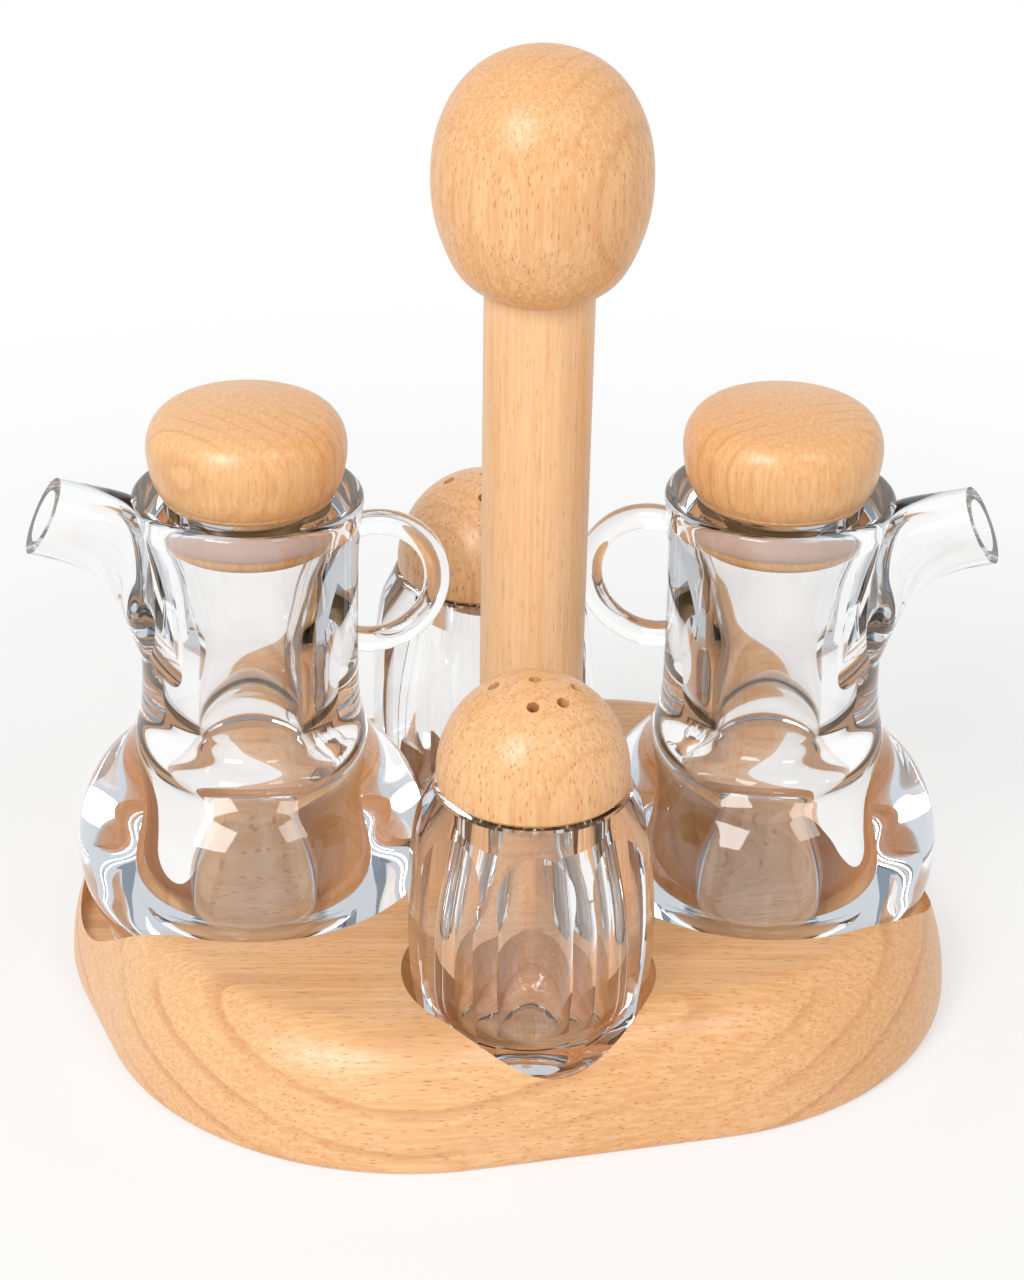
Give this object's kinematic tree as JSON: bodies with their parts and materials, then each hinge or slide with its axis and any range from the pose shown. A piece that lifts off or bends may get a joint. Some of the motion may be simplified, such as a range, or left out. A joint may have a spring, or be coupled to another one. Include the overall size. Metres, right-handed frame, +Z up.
{
  "type": "table cruet set",
  "caption": "Wooden table stand with a knobbed post handle, spouted glass cruets with wooden stoppers, and faceted glass shakers with pierced wooden dome caps.",
  "frame": {"origin": "middle of the stand's underside", "axes": "+Z up, +X along the row of the two cruets, -Y towards the front shaker"},
  "size_m": [0.2355, 0.1932, 0.2444],
  "materials": {
    "stand_wood": "satin lacquered light hardwood, horizontal grain",
    "handle_wood": "satin lacquered light hardwood, upright grain",
    "stopper_wood": "satin lacquered turned hardwood",
    "cap_wood": "satin lacquered turned hardwood with open pores",
    "clear_glass": "clear, thick, fire polished",
    "seal_silicone": "translucent soft silicone",
    "screw_steel": "plated, dull"
  },
  "bodies": {
    "stand": {"base_block": "stand_wood", "handle_post": "handle_wood", "handle_knob": "handle_wood", "post_screw": "screw_steel"},
    "cruet_left": {"left_cruet_cup": "clear_glass", "left_cruet_shoulder": "clear_glass", "left_cruet_neck": "clear_glass", "left_cruet_spout": "clear_glass", "left_cruet_handle": "clear_glass"},
    "cruet_right": {"right_cruet_cup": "clear_glass", "right_cruet_shoulder": "clear_glass", "right_cruet_neck": "clear_glass", "right_cruet_spout": "clear_glass", "right_cruet_handle": "clear_glass"},
    "shaker_front": {"front_shaker_glass": "clear_glass"},
    "shaker_rear": {"rear_shaker_glass": "clear_glass"},
    "stopper_left": {"left_stopper": "stopper_wood", "left_stopper_seal": "seal_silicone"},
    "stopper_right": {"right_stopper": "stopper_wood", "right_stopper_seal": "seal_silicone"},
    "cap_front": {"front_shaker_cap": "cap_wood", "front_cap_seal": "seal_silicone"},
    "cap_rear": {"rear_shaker_cap": "cap_wood", "rear_cap_seal": "seal_silicone"}
  },
  "joints": [
    {"name": "lift_cruet_left", "type": "slide", "parent": "stand", "child": "cruet_left", "axis": [0, 0, 1], "range_m": [0, 0.06]},
    {"name": "lift_cruet_right", "type": "slide", "parent": "stand", "child": "cruet_right", "axis": [0, 0, 1], "range_m": [0, 0.06]},
    {"name": "lift_shaker_front", "type": "slide", "parent": "stand", "child": "shaker_front", "axis": [0, 0, 1], "range_m": [0, 0.06]},
    {"name": "lift_shaker_rear", "type": "slide", "parent": "stand", "child": "shaker_rear", "axis": [0, 0, 1], "range_m": [0, 0.06]},
    {"name": "lift_stopper_left", "type": "slide", "parent": "cruet_left", "child": "stopper_left", "axis": [0, 0, 1], "range_m": [0, 0.04]},
    {"name": "lift_stopper_right", "type": "slide", "parent": "cruet_right", "child": "stopper_right", "axis": [0, 0, 1], "range_m": [0, 0.04]},
    {"name": "lift_cap_front", "type": "slide", "parent": "shaker_front", "child": "cap_front", "axis": [0, 0, 1], "range_m": [0, 0.03]},
    {"name": "lift_cap_rear", "type": "slide", "parent": "shaker_rear", "child": "cap_rear", "axis": [0, 0, 1], "range_m": [0, 0.03]}
  ]
}
